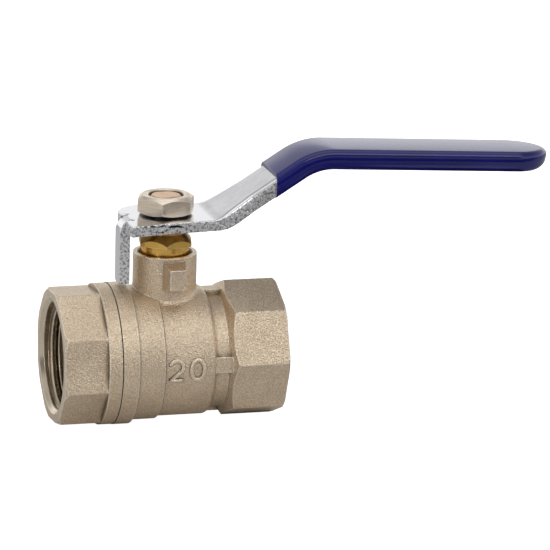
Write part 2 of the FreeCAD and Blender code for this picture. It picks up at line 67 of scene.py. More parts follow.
# Camera: where it looks from, and how it is aimed past the origin
CAMERA_AZIMUTH = math.radians(15.5)
CAMERA_ELEVATION = math.radians(15.0)
CAMERA_ROLL = math.radians(1.5)
CAMERA_DISTANCE = 1.0591
CAMERA_SHIFT_RIGHT = 0.02759
CAMERA_SHIFT_UP = 0.01852
CAMERA_LENS = 281.5

# Pipe thread in both ports
THREAD_PITCH = 25.4 / 14 * MM
THREAD_ROOT_R = 13.30 * MM
THREAD_CREST_R = 12.06 * MM
THREAD_TURNS = 6.0
THREAD_INSET = 1.95 * MM
THREAD_STEPS_PER_TURN = 96
THREAD_START_ANGLE = math.pi
THREAD_FADE_TURNS = 0.35
THREAD_LEAST_HEIGHT = 0.02
THREAD_HALF_BASE = 0.42 * THREAD_PITCH
THREAD_HALF_SHOULDER = 0.12 * THREAD_PITCH
THREAD_HALF_CREST = 0.045 * THREAD_PITCH
THREAD_SHOULDER_DROP = 0.1 * MM
THREAD_EMBED = 0.12 * MM

# Dark lines: dirt where the cap meets the body, and painted shade at the feet of the barrel's
# two steps. The last one is only on the barrel, which ends between the two radii.
JOINT_X = -14.0 * MM
RIM_FOOT_X = -9.68 * MM
STEP_FOOT_X = -3.08 * MM
BARREL_EDGE_R = (16.2 * MM, 16.5 * MM)

# The body and the cap are machined inside this radius, and as cast outside the next
MACHINED_R = (14.24 * MM, 14.34 * MM)

# The gland nut's chamfer: height plus radius is the same all over a 45 degree cone
GLAND_CONE_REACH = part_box("gland_nut")[1].z + 5.0 * MM

# The stem where it comes through the lever nut
STEM_R = 4.0 * MM

# Raised size numerals on the barrel
BARREL_R = 16.0 * MM
NUMERAL_HEIGHT = 6.1 * MM
NUMERAL_WIDTH = 4.3 * MM
NUMERAL_GAP = 1.0 * MM
NUMERAL_STROKE = 1.05 * MM
NUMERAL_RELIEF = 0.45 * MM
NUMERAL_SUNK = 0.25 * MM
NUMERAL_FULLNESS = 0.6
NUMERAL_PROFILE_STEPS = 8
NUMERAL_CENTRE_X = 2.3 * MM
NUMERAL_CENTRE_Z = -0.7 * MM

# Lever plate. The lever nut stands on it, and has painted shade up to a little above it.
LEVER_TOP_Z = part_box("lever_nut")[0].z
NUT_SHADE_TOP_Z = LEVER_TOP_Z + 0.65 * MM
LOW_BEND_X = 11.0 * MM
LOW_BEND_R = 5.0 * MM
HIGH_BEND_X = 35.6 * MM
HIGH_BEND_R = 16.5 * MM
INCLINE = math.radians(32.3)
DROOP = math.radians(2.9)
PLATE = 2.7 * MM
ARM_DEPTH = 3.9 * MM
ARM_HALF_WIDTH = 7.45 * MM
ARM_START_X = 20.0 * MM
BEND_HALF_WIDTH = 8.8 * MM
BEND_WIDTH_X = 12.6 * MM
PLATE_REACH = ARM_DEPTH + 0.5 * MM
LINE_STEP = 0.1 * MM
LINE_STEPS = np.arange(-250, 1100)
LEVER_VOXEL = 0.25 * MM
SNAP_REACH = 0.6 * LEVER_VOXEL
FLAT_FACING = 0.97
ROLL_R = 1.4 * MM
ROLL_START_X = 10.5 * MM
ROLL_FULL_X = 16.0 * MM
TAB_ROOT_X = -8.4 * MM
TAB_FRONT_Y = -5.3 * MM
TAB_BACK_Y = 0.3 * MM
TAB_CUT_Z = 19.3 * MM
TORN_FACING = 0.88
TAB_TORN_FACING = 0.5
TORN_FADE = 0.2
SHEAR_GRAIN = 0.075 * MM
SHEAR_GRAIN_SIZE = 0.55 * MM
SHEAR_OCTAVES = 2

# Deep pits in the lever's sheared edge: middle and half length of each stretch, along X
PITTED_STRETCHES = ((-3.0 * MM, 6.0 * MM), (31.0 * MM, 8.0 * MM))

# Grip sleeve
GRIP_SKIN = 0.35 * MM
GRIP_TOP_SKIN = 0.75 * MM
GRIP_HALF_WIDTH = 7.9 * MM
GRIP_MOUTH_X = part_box("lever_grip")[0].x
GRIP_TIP_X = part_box("lever_grip")[1].x
GRIP_STATIONS = 110
GRIP_TIP_STEPS = 36
GRIP_CORNER_STEPS = 7
GRIP_TIP_REACH = 9.5 * MM
GRIP_TIP_TAPER = 1.12
GRIP_TIP_LIFT = 1.7 * MM
GRIP_EDGE_R = 1.5 * MM
GRIP_SIDE_R = 4.0 * MM
GRIP_WAIST = 0.42
GRIP_BULGE = 0.22 * MM
GRIP_INNER_BULGE = 0.01 * MM
GRIP_UNDER_EDGE = 0.8
GRIP_CHANNEL_MOUTH = 5.6 * MM
GRIP_CHANNEL_FOOT = 4.4 * MM
GRIP_CHANNEL_R = 0.55 * MM
GRIP_LIP = 0.16 * MM
GRIP_INNER_GAP = 0.02 * MM
GRIP_MOUTH_BLEND = 9.0 * MM

# Floor. What it shows to reflections: (axis, place, value there, next place, value there)
FLOOR_Z = cad_box[0].z - 0.02 * MM
FLOOR_HALF = 6.0
DARK_IN_FRONT = ("Y", -0.225, 0.08, -0.195, 0.72)
LIGHT_UNDER_VALVE = ("X", 0.035, 1.0, 0.07, 0.1)
LIGHT_BEHIND = ("Y", 0.05, 0.0, 0.15, 1.0)
LIGHT_PAST_LEVER = ("X", 0.115, 0.0, 0.13, 0.9)
STRIP_END = ("X", 0.073, 0.4, 0.085, 0.0)
STRIP_Y = -0.172
STRIP_HALF_WIDTH = 0.02
STRIP_TONE = 0.7
PATCH_X = 0.106
PATCH_Y = -0.116
PATCH_HALF_LENGTH = 0.02
PATCH_HALF_WIDTH = 0.018
PATCH_GLOW = 0.75

# Studio walls: brightness by the height (sine of the elevation) that a ray goes to
REAR_WALLS = [(0.0, 1.0), (0.275, 1.0), (0.335, 0.55), (0.50, 0.50), (0.62, 0.35), (0.86, 0.35),
              (0.96, 0.6)]
FRONT_WALL = [(0.0, 0.8), (0.06, 0.5), (0.10, 0.12), (0.32, 0.12), (0.40, 0.5), (0.86, 0.4),
              (0.96, 0.6)]
FRONT_WALL_AZIMUTH = math.radians(35)
FRONT_TO_REAR = [(0.36, 1.0), (0.56, 0.0)]
WALL_STRENGTH = 1.05

# Lights: name, azimuth and elevation in degrees, distance, width, height and radiance
SOFTBOXES = [
    ("key", -18, 37, 1.3, 0.85, 0.5, 1.5),
    ("strip", 48, 22, 1.3, 0.14, 0.9, 5.0),
    ("overhead", 0, 86, 1.2, 1.3, 1.1, 0.45)]


def new_object(name, mesh):
    """Object in the scene for a mesh."""
    piece = bpy.data.objects.new(name, mesh)
    scene.collection.objects.link(piece)
    return piece


def mesh_piece(name, points, faces):
    """Smooth object from points and faces, with merged doubles and outward normals."""
    mesh = bpy.data.meshes.new(name)
    mesh.from_pydata([tuple(point) for point in points], [], faces)
    work = bmesh.new()
    work.from_mesh(mesh)
    bmesh.ops.remove_doubles(work, verts=work.verts, dist=0.002 * MM)
    bmesh.ops.recalc_face_normals(work, faces=work.faces)
    work.to_mesh(mesh)
    work.free()
    mesh.polygons.foreach_set("use_smooth", [True] * len(mesh.polygons))
    return new_object(name, mesh)


def ramp_node(tree, value, stops):
    """Output of a colour ramp of (position, grey or colour) stops, fed by a socket."""
    made = tree.nodes.new("ShaderNodeValToRGB")
    tree.links.new(value, made.inputs["Fac"])
    while len(made.color_ramp.elements) < len(stops):
        made.color_ramp.elements.new(1.0)
    for element, (position, tone) in zip(made.color_ramp.elements, stops):
        element.position = position
        element.color = (*tone, 1.0) if isinstance(tone, tuple) else (tone, tone, tone, 1.0)
    return made.outputs["Color"]


def smoothstep(low, high, value):
    """0 up to low, 1 from high on, and an even S between them."""
    share = min(max((value - low) / (high - low), 0.0), 1.0)
    return share * share * (3 - 2 * share)


# ---------------------------------------------------------------- camera

def make_camera():
    """Long lens from the front left, slightly above."""
    right = Vector((math.cos(CAMERA_AZIMUTH), -math.sin(CAMERA_AZIMUTH), 0))
    back = Vector((-math.sin(CAMERA_AZIMUTH) * math.cos(CAMERA_ELEVATION),
                   -math.cos(CAMERA_AZIMUTH) * math.cos(CAMERA_ELEVATION),
                   math.sin(CAMERA_ELEVATION)))
    up = back.cross(right)
    across = math.cos(CAMERA_ROLL) * right + math.sin(CAMERA_ROLL) * up
    upward = math.cos(CAMERA_ROLL) * up - math.sin(CAMERA_ROLL) * right
    place = CAMERA_SHIFT_RIGHT * across + CAMERA_SHIFT_UP * upward + CAMERA_DISTANCE * back
    data = bpy.data.cameras.new("camera")
    data.lens = CAMERA_LENS
    data.sensor_width = 36.0
    data.clip_start = 0.05
    data.clip_end = 50.0
    camera = bpy.data.objects.new("camera", data)
    scene.collection.objects.link(camera)
    axes = Matrix((across, upward, back)).transposed().to_4x4()
    camera.matrix_world = Matrix.Translation(place) @ axes
    scene.camera = camera


# ---------------------------------------------------------------- node helpers

class Look:
    """A material in the making: one Principled shader, and short calls for its nodes.

    The colour and roughness given at the start stand in where nodes are not read.
    """

    def __init__(self, name, color, roughness, metallic=0.0, **sockets):
        self.material = bpy.data.materials.new(name)
        self.material.use_nodes = True
        self.tree = self.material.node_tree
        self.shader = self.tree.nodes["Principled BSDF"]
        self.set_socket("Base Color", (*color, 1.0))
        self.set_socket("Roughness", roughness)
        self.set_socket("Metallic", metallic)
        for socket, value in sockets.items():
            self.set_socket(socket.replace("_", " "), value)
        self.place = self.tree.nodes.new("ShaderNodeTexCoord").outputs["Object"]
        self.normal = None

    def set_socket(self, socket, value):
        self.shader.inputs[socket].default_value = value

    def node(self, kind, inputs=(), **settings):
        """New node; inputs maps a socket's name or number to a value or another node's output."""
        made = self.tree.nodes.new(kind)
        for setting, value in settings.items():
            setattr(made, setting, value)
        for socket, value in dict(inputs).items():
            if isinstance(value, bpy.types.NodeSocket):
                self.tree.links.new(value, made.inputs[socket])
            else:
                made.inputs[socket].default_value = value
        return made

    def noise(self, size, detail, stretch=(1.0, 1.0, 1.0)):
        """Noise with features of about that size; a stretch below 1 lengthens them on its axis."""
        place = self.place
        if stretch != (1.0, 1.0, 1.0):
            place = self.node("ShaderNodeMapping", {"Vector": place, "Scale": stretch}).outputs[0]
        inputs = {"Vector": place, "Scale": 1.0 / size, "Detail": detail, "Roughness": 0.6}
        return self.node("ShaderNodeTexNoise", inputs).outputs["Fac"]

    def ramp(self, value, stops):
        return ramp_node(self.tree, value, stops)

    def math(self, operation, first, second=0.0):
        return self.node("ShaderNodeMath", {0: first, 1: second}, operation=operation).outputs[0]

    def mix(self, factor, first, second, blend="MIX"):
        """Colour mix of two colours or outputs."""
        made = self.node("ShaderNodeMix", data_type="RGBA", blend_type=blend)
        for socket, value in ((0, factor), (6, first), (7, second)):
            if isinstance(value, bpy.types.NodeSocket):
                self.tree.links.new(value, made.inputs[socket])
            elif socket == 0:
                made.inputs[socket].default_value = value
            else:
                made.inputs[socket].default_value = (*value, 1.0)
        return made.outputs[2]

    def bump(self, height, depth, strength):
        """Adds relief of about that depth to the surface normal."""
        inputs = {"Height": height, "Distance": depth, "Strength": strength}
        if self.normal is not None:
            inputs["Normal"] = self.normal
        self.normal = self.node("ShaderNodeBump", inputs).outputs["Normal"]

    def soften_edges(self, radius):
        """Rounds the shading of edges over a radius, before any bump."""
        self.normal = self.node("ShaderNodeBevel", {"Radius": radius}, samples=6).outputs["Normal"]

    def edge_mask(self, radius, low, high):
        """1 at convex and concave edges, 0 on open faces."""
        rounded = self.node("ShaderNodeBevel", {"Radius": radius}, samples=6).outputs["Normal"]
        flat = self.node("ShaderNodeNewGeometry").outputs["Normal"]
        product = self.node("ShaderNodeVectorMath", {0: rounded, 1: flat}, operation="DOT_PRODUCT")
        bend = self.math("SUBTRACT", 1.0, product.outputs["Value"])
        return self.ramp(bend, [(low, 0.0), (high, 1.0)])

    def corner_mask(self, reach, low, high):
        """1 deep in corners and grooves, 0 on open faces."""
        shelter = self.node("ShaderNodeAmbientOcclusion", {"Distance": reach}, samples=8)
        return self.ramp(shelter.outputs["AO"], [(low, 1.0), (high, 0.0)])

    def radius_from(self, axis):
        """Distance from the X or Z axis."""
        parts = self.node("ShaderNodeSeparateXYZ", {"Vector": self.place}).outputs
        pair = (parts["Y"], parts["Z"]) if axis == "X" else (parts["X"], parts["Y"])
        squares = [self.math("MULTIPLY", part, part) for part in pair]
        return self.math("SQRT", self.math("ADD", *squares))

    def inside_radius(self, axis, inner, outer):
        """1 up to one distance from an axis, 0 from the next on. The ramp spans 20 mm."""
        per_metre = 50.0
        scaled = self.math("MULTIPLY", self.radius_from(axis), per_metre)
        return self.ramp(scaled, [(inner * per_metre, 1.0), (outer * per_metre, 0.0)])

    def along(self, axis):
        return self.node("ShaderNodeSeparateXYZ", {"Vector": self.place}).outputs[axis]

    def change_along(self, axis, start, before, end, after):
        """One value up to a place along an axis, another from the next on. The ramp spans 1 m."""
        shift = 0.5
        shifted = self.math("ADD", self.along(axis), shift)
        return self.ramp(shifted, [(start + shift, before), (end + shift, after)])

    def near_place(self, axis, place, half_width):
        """1 near a place along an axis, fading to 0 about half_width away from it."""
        offset = self.math("ABSOLUTE", self.math("SUBTRACT", self.along(axis), place))
        return self.ramp(self.math("DIVIDE", offset, 2 * half_width), [(0.35, 1.0), (0.65, 0.0)])

    def link(self, output, socket):
        self.tree.links.new(output, self.shader.inputs[socket])

    def finish(self):
        if self.normal is not None:
            self.link(self.normal, "Normal")
        return self.material


def dress(piece, *materials):
    """Gives a piece its materials, in slot order."""
    piece.data.materials.clear()
    for material in materials:
        piece.data.materials.append(material)


# ---------------------------------------------------------------- materials

def blasted_nickel(name, relief_r=None):
    """Sand-blasted brass casting under dull nickel, machined in its ports and at their mouths.

    Raised lettering above the radius relief_r: painted shade at its foot, rubbed wear and painted
    highlight on top.
    """
    look = Look(name, (0.7, 0.57, 0.43), 0.4, metallic=1.0, Specular_IOR_Level=0.1)
    grain = look.noise(0.36 * MM, detail=1.0)
    pits = look.noise(0.8 * MM, detail=2.0)
    cloud = look.noise(9.0 * MM, detail=2.0)
    tone = look.ramp(cloud, [(0.3, (0.75, 0.605, 0.445)), (0.7, (0.85, 0.695, 0.515))])
    speckle = look.ramp(grain, [(0.36, 0.82), (0.5, 1.0), (0.64, 1.14)])
    tone = look.mix(1.0, tone, speckle, blend="MULTIPLY")
    # Lighter edges: partly rubbed wear, partly painted highlight.
    edge = look.edge_mask(0.5 * MM, 0.004, 0.04)
    wear_and_painted_light = look.mix(edge, tone, (1.0, 0.93, 0.81))
    # Painted shade deep in corners and grooves, found by ambient occlusion.
    painted_shade = look.math("MULTIPLY", look.corner_mask(1.7 * MM, 0.52, 0.84), 0.85)
    wear_and_painted_light = look.mix(painted_shade, wear_and_painted_light, (0.16, 0.11, 0.055))
    # Dark lines: dirt in the joint of cap and body, painted shade at the feet of the two steps.
    joint = look.near_place("X", JOINT_X, 0.14 * MM)
    rim_foot = look.near_place("X", RIM_FOOT_X, 0.10 * MM)
    step_foot = look.math("MULTIPLY", look.near_place("X", STEP_FOOT_X, 0.09 * MM),
                          look.inside_radius("X", *BARREL_EDGE_R))
    joint_dirt_and_step_shade = look.math("MAXIMUM", joint, look.math("MAXIMUM", rim_foot, step_foot))
    wear_and_painted_light = look.mix(joint_dirt_and_step_shade, wear_and_painted_light, (0.095, 0.06, 0.012))
    look.link(look.math("SUBTRACT", 1.0, joint_dirt_and_step_shade), "Metallic")
    if relief_r is not None:
        rise = look.math("SUBTRACT", look.radius_from("X"), relief_r)
        rise = look.math("DIVIDE", rise, 1.0 * MM)
        # Raised lettering: painted shade at its foot, and a lighter top as rubbed wear and painted
        # highlight.
        wear_and_painted_light = look.mix(look.ramp(rise, [(0.05, 0.7), (0.16, 0.0)]), wear_and_painted_light, (0.20, 0.14, 0.08))
        wear_and_painted_light = look.mix(look.ramp(rise, [(0.30, 0.0), (0.42, 0.55)]), wear_and_painted_light, (0.98, 0.88, 0.72))
    machined = look.inside_radius("X", *MACHINED_R)
    lines = look.noise(0.16 * MM, detail=1.0, stretch=(1.0, 0.03, 0.03))
    bright = look.ramp(lines, [(0.3, (0.66, 0.56, 0.43)), (0.7, (0.80, 0.70, 0.56))])
    look.link(look.mix(machined, wear_and_painted_light, bright), "Base Color")
    roughness = look.ramp(pits, [(0.3, 0.27), (0.7, 0.34)])
    roughness = look.mix(edge, roughness, (0.2, 0.2, 0.2))
    look.link(look.mix(machined, roughness, (0.24, 0.24, 0.24)), "Roughness")
    look.soften_edges(0.28 * MM)
    cast = look.math("SUBTRACT", 1.0, machined)
    look.bump(look.math("MULTIPLY", grain, cast), 0.24 * MM, 1.0)
    look.bump(look.math("MULTIPLY", pits, cast), 0.12 * MM, 0.4)
    look.bump(look.math("MULTIPLY", lines, machined), 0.02 * MM, 0.4)
    return look.finish()


def thread_nickel():
    """Cut thread under nickel: bright at crest and root, with painted shade on the flanks between.
    """
    look = Look("thread_nickel", (0.46, 0.37, 0.26), 0.22, metallic=1.0)
    chatter = look.noise(0.30 * MM, detail=2.0, stretch=(1.0, 0.2, 0.2))
    bright = look.ramp(chatter, [(0.3, (0.60, 0.51, 0.39)), (0.7, (0.80, 0.71, 0.57))])
    depth = look.math("SUBTRACT", look.radius_from("X"), THREAD_CREST_R)
    # Painted shade on the flanks, leaving crest and root bright.
    painted_flank_shade = look.ramp(look.math("DIVIDE", depth, THREAD_ROOT_R - THREAD_CREST_R),
                      [(0.12, 0.0), (0.30, 0.85), (0.75, 0.85), (0.92, 0.0)])
    look.link(look.mix(painted_flank_shade, bright, (0.11, 0.075, 0.04)), "Base Color")
    look.link(look.ramp(chatter, [(0.3, 0.17), (0.7, 0.28)]), "Roughness")
    look.bump(chatter, 0.03 * MM, 0.4)
    return look.finish()


def turned_metal(name, dark, light, roughness, axis, painted_edge_tone,
                 shade_top_z=None, cone_reach=None, gap_r=None):
    """Machined metal with fine tool lines around an axis, and another tone at its edges.

    The edge tone is painted highlight where lighter, painted shade where darker. Below a height
    and just outside the radius gap_r it has painted shade, and a painted dark reflection where
    height plus radius comes to cone_reach.
    """
    look = Look(name, light, roughness, metallic=1.0)
    stretch = (0.05, 0.05, 1.0) if axis == "Z" else (1.0, 0.05, 0.05)
    lines = look.noise(0.14 * MM, detail=2.0, stretch=stretch)
    stain = look.noise(2.4 * MM, detail=3.0)
    tone = look.ramp(stain, [(0.3, dark), (0.7, light)])
    tone = look.mix(1.0, tone, look.ramp(lines, [(0.35, 0.86), (0.65, 1.08)]), blend="MULTIPLY")
    # Edges in another tone: painted highlight where it is lighter, painted shade where it is
    # darker.
    tone = look.mix(look.edge_mask(0.4 * MM, 0.006, 0.06), tone, painted_edge_tone)
    # Painted shade at the nut's foot, where it stands on the lever.
    if shade_top_z is not None:
        height = look.math("SUBTRACT", look.along("Z"), shade_top_z - 1.0 * MM)
        painted_shade = look.ramp(look.math("DIVIDE", height, 1.0 * MM), [(0.7, 1.0), (1.0, 0.0)])
        tone = look.mix(painted_shade, tone, (0.015, 0.013, 0.011))
    # Painted shadow in the gap round the stem.
    if gap_r is not None:
        past_gap = look.math("SUBTRACT", look.radius_from("Z"), gap_r)
        stem_gap_shade = look.ramp(look.math("DIVIDE", past_gap, 1.0 * MM), [(0.25, 1.0), (0.50, 0.0)])
        tone = look.mix(stem_gap_shade, tone, (0.04, 0.025, 0.012))
    # Painted dark reflection of the lever's underside on the gland nut's chamfer.
    if cone_reach is not None:
        reach = look.math("ADD", look.along("Z"), look.radius_from("Z"))
        reach = look.math("SUBTRACT", reach, cone_reach)
        within = look.math("ADD", look.math("DIVIDE", reach, 1.0 * MM), 0.5)
        cone_dark_reflection = look.ramp(within, [(0.34, 0.0), (0.44, 0.75)])
        tone = look.mix(cone_dark_reflection, tone, (0.10, 0.05, 0.012))
    look.link(tone, "Base Color")
    look.link(look.ramp(stain, [(0.3, roughness * 0.8), (0.7, roughness * 1.3)]), "Roughness")
    look.soften_edges(0.1 * MM)
    look.bump(lines, 0.02 * MM, 0.35)
    return look.finish()


def polished_zinc():
    """Bright zinc on rolled steel: faint rolling lines and light clouding."""
    look = Look("polished_zinc", (0.86, 0.86, 0.88), 0.16, metallic=1.0)
    cloud = look.noise(5.0 * MM, detail=3.0)
    rolling = look.noise(0.35 * MM, detail=2.0, stretch=(0.06, 1.0, 1.0))
    look.link(look.ramp(cloud, [(0.3, (0.80, 0.80, 0.825)), (0.7, (0.90, 0.90, 0.915))]),
              "Base Color")
    look.link(look.ramp(cloud, [(0.3, 0.13), (0.7, 0.21)]), "Roughness")
    look.bump(rolling, 0.012 * MM, 0.35)
    return look.finish()


def sheared_zinc():
    """Sheared edge under zinc: torn grain with bright points, and deep pits beside the bends."""
    look = Look("sheared_zinc", (0.5, 0.5, 0.52), 0.33, metallic=1.0)
    grain = look.noise(0.62 * MM, detail=2.5)
    pits = look.noise(1.5 * MM, detail=3.0, stretch=(0.4, 1.0, 1.3))
    tone = look.ramp(grain, [(0.37, (0.26, 0.26, 0.27)), (0.47, (0.74, 0.74, 0.76)),
                             (0.58, (1.0, 1.0, 1.0))])
    stretches = [look.near_place("X", *stretch) for stretch in PITTED_STRETCHES]
    pitted = look.math("MAXIMUM", *stretches)
    hole = look.math("MULTIPLY", pitted, look.ramp(pits, [(0.41, 1.0), (0.46, 0.0)]))
    look.link(look.mix(hole, tone, (0.015, 0.015, 0.018)), "Base Color")
    look.link(look.ramp(grain, [(0.3, 0.5), (0.7, 0.25)]), "Roughness")
    look.bump(grain, 0.18 * MM, 0.7)
    return look.finish()


def dipped_pvc():
    """Glossy dipped PVC: deep blue, a slow ripple in its skin and fine dust marks."""
    look = Look("dipped_pvc", (0.006, 0.006, 0.13), 0.16, IOR=1.45,
                Coat_Weight=0.5, Coat_Roughness=0.08, Coat_IOR=1.4)
    ripple = look.noise(7.0 * MM, detail=1.0, stretch=(0.5, 1.0, 1.0))
    skin = look.noise(0.7 * MM, detail=3.0)
    look.link(look.ramp(ripple, [(0.3, (0.004, 0.005, 0.125)), (0.7, (0.007, 0.008, 0.175))]),
              "Base Color")
    look.link(look.ramp(skin, [(0.3, 0.12), (0.7, 0.2)]), "Roughness")
    look.bump(ripple, 0.10 * MM, 0.3)
    look.bump(skin, 0.006 * MM, 0.3)
    return look.finish()


def waxy_ptfe():
    """White PTFE with faint turning lines."""
    look = Look("waxy_ptfe", (0.86, 0.86, 0.83), 0.45, Subsurface_Weight=0.1)
    haze = look.noise(1.6 * MM, detail=3.0)
    lines = look.noise(0.12 * MM, detail=1.0, stretch=(1.0, 0.1, 0.1))
    look.link(look.ramp(haze, [(0.3, (0.80, 0.80, 0.77)), (0.7, (0.90, 0.90, 0.88))]),
              "Base Color")
    look.link(look.ramp(haze, [(0.3, 0.4), (0.7, 0.52)]), "Roughness")
    look.bump(lines, 0.01 * MM, 0.3)
    return look.finish()


def black_rubber():
    """Moulded black rubber, matt and faintly grained."""
    look = Look("black_rubber", (0.018, 0.018, 0.018), 0.62)
    grain = look.noise(0.12 * MM, detail=2.0)
    look.link(look.ramp(grain, [(0.3, (0.014, 0.014, 0.014)), (0.7, (0.028, 0.028, 0.027))]),
              "Base Color")
    look.link(look.ramp(grain, [(0.3, 0.55), (0.7, 0.7)]), "Roughness")
    look.bump(grain, 0.01 * MM, 0.4)
    return look.finish()


# ---------------------------------------------------------------- thread

def thread_section(height):
    """Outline of the ridge's cross-section, as (along the pipe, radius) points."""
    crest_r = THREAD_ROOT_R - height * (THREAD_ROOT_R - THREAD_CREST_R)
    half = [(THREAD_HALF_CREST, crest_r),
            (THREAD_HALF_SHOULDER, crest_r + THREAD_SHOULDER_DROP * height),
            (THREAD_HALF_BASE, THREAD_ROOT_R),
            (THREAD_HALF_BASE, THREAD_ROOT_R + THREAD_EMBED)]
    return [(-along, radius) for along, radius in reversed(half)] + half


def port_thread(name, start_x):
    """Right-handed helical ridge along a port, tapering away at both ends."""
    count = int(THREAD_TURNS * THREAD_STEPS_PER_TURN)
    points = []
    for step in range(count + 1):
        turns = step / THREAD_STEPS_PER_TURN
        angle = 2 * math.pi * turns + THREAD_START_ANGLE
        height = (smoothstep(0.0, THREAD_FADE_TURNS, turns)
                  * smoothstep(0.0, THREAD_FADE_TURNS, THREAD_TURNS - turns))
        for along, radius in thread_section(max(height, THREAD_LEAST_HEIGHT)):
            x = start_x + turns * THREAD_PITCH + along
            points.append((x, radius * math.cos(angle), radius * math.sin(angle)))
    width = len(thread_section(1.0))
    faces = []
    for step in range(count):
        for side in range(width):
            near = step * width
            far = near + width
            after = (side + 1) % width
            faces.append((near + side, near + after, far + after, far + side))
    faces.append(tuple(range(width)))
    faces.append(tuple(count * width + side for side in range(width)))
    return mesh_piece(name, points, faces)


# ---------------------------------------------------------------- numerals

def arc_points(centre, radii, start_deg, end_deg, count):
    """Points of an elliptic arc, as (along the pipe, up) pairs."""
    made = []
    for step in range(count + 1):
        angle = math.radians(start_deg + (end_deg - start_deg) * step / count)
        made.append((centre[0] + radii[0] * math.cos(angle),
                     centre[1] + radii[1] * math.sin(angle)))
    return made


def numeral_strokes():
    """Centre lines of the numerals 2 and 0, each with whether it closes on itself."""
    half_w = (NUMERAL_WIDTH - NUMERAL_STROKE) / 2
    half_h = (NUMERAL_HEIGHT - NUMERAL_STROKE) / 2
    shift = (NUMERAL_WIDTH + NUMERAL_GAP) / 2
    two = arc_points((-shift, half_h - half_w), (half_w, half_w), 165, -35, 18)
    two += [(-shift + half_w * share, -half_h) for share in (-1.0, -0.3, 0.4, 1.1)]
    zero = arc_points((shift, 0), (half_w, half_h), 0, 360, 40)[:-1]
    return [(two, False), (zero, True)]


def wrap_on_barrel(along, up, lift):
    """Point on the barrel's front, lifted off its surface."""
    angle = (NUMERAL_CENTRE_Z + up) / BARREL_R
    radius = BARREL_R + lift
    return (NUMERAL_CENTRE_X + along, -radius * math.cos(angle), radius * math.sin(angle))


def stroke_mesh(line, closed, points, faces):
    """Adds a rounded raised bar along a line of (along, up) points."""
    half = NUMERAL_STROKE / 2
    profile = [(-half, -NUMERAL_SUNK)]
    for step in range(NUMERAL_PROFILE_STEPS + 1):
        angle = math.pi * step / NUMERAL_PROFILE_STEPS
        profile.append((-math.cos(angle) * half,
                        math.sin(angle) ** NUMERAL_FULLNESS * NUMERAL_RELIEF))
    profile.append((half, -NUMERAL_SUNK))
    count = len(line)
    first = len(points)
    width = len(profile)
    for index, (along, up) in enumerate(line):
        before = line[index - 1] if closed or index > 0 else line[index]
        after = line[(index + 1) % count] if closed or index < count - 1 else line[index]
        direction = Vector((after[0] - before[0], after[1] - before[1])).normalized()
        for offset, lift in profile:
            points.append(wrap_on_barrel(along - direction.y * offset,
                                         up + direction.x * offset, lift))
    for index in range(count if closed else count - 1):
        near = first + index * width
        far = first + ((index + 1) % count) * width
        for side in range(width):
            after = (side + 1) % width
            faces.append((near + side, near + after, far + after, far + side))
    if not closed:
        faces.append(tuple(first + side for side in range(width)))
        faces.append(tuple(first + (count - 1) * width + side for side in range(width)))


def size_numerals():
    """Raised 20, the pipe's nominal size in millimetres."""
    points = []
    faces = []
    for line, closed in numeral_strokes():
        stroke_mesh(line, closed, points, faces)
    return mesh_piece("size_numerals", points, faces)


# ---------------------------------------------------------------- lever

LOW_TANGENT = LOW_BEND_R * math.tan(INCLINE / 2)
HIGH_TANGENT = HIGH_BEND_R * math.tan((INCLINE + DROOP) / 2)
LEVER_LINE_X = LOW_BEND_X - LOW_TANGENT
LEVER_SPANS = [
    (LOW_BEND_R * INCLINE, INCLINE),
    ((HIGH_BEND_X - LOW_BEND_X) / math.cos(INCLINE) - LOW_TANGENT - HIGH_TANGENT, 0.0),
    (HIGH_BEND_R * (INCLINE + DROOP), -INCLINE - DROOP),
    (1.0, 0.0)]


def lever_line(distance):
    """Place and slope of the lever's top line, a distance along it from the low bend's start."""
    x = LEVER_LINE_X
    z = LEVER_TOP_Z
    slope = 0.0
    if distance < 0:
        return x + distance, z, slope
    for length, turn in LEVER_SPANS:
        step = min(distance, length)
        if turn:
            radius = length / turn
            ahead = slope + turn * step / length
            x += radius * (math.sin(ahead) - math.sin(slope))
            z += radius * (math.cos(slope) - math.cos(ahead))
            slope = ahead
        else:
            x += step * math.cos(slope)
            z += step * math.sin(slope)
        distance -= step
        if distance <= 0:
            break
    return x, z, slope


LINE_DISTANCES = LINE_STEPS * LINE_STEP
LINE_SAMPLES = np.array([lever_line(distance) for distance in LINE_DISTANCES])


def line_at(x):
    """Height and slope of the lever's top line above a place along X; takes arrays too."""
    height = np.interp(x, LINE_SAMPLES[:, 0], LINE_SAMPLES[:, 1])
    return height, np.interp(x, LINE_SAMPLES[:, 0], LINE_SAMPLES[:, 2])


def distance_at(x):
    """Distance along the lever's top line at a place along X."""
    return float(np.interp(x, LINE_SAMPLES[:, 0], LINE_DISTANCES))


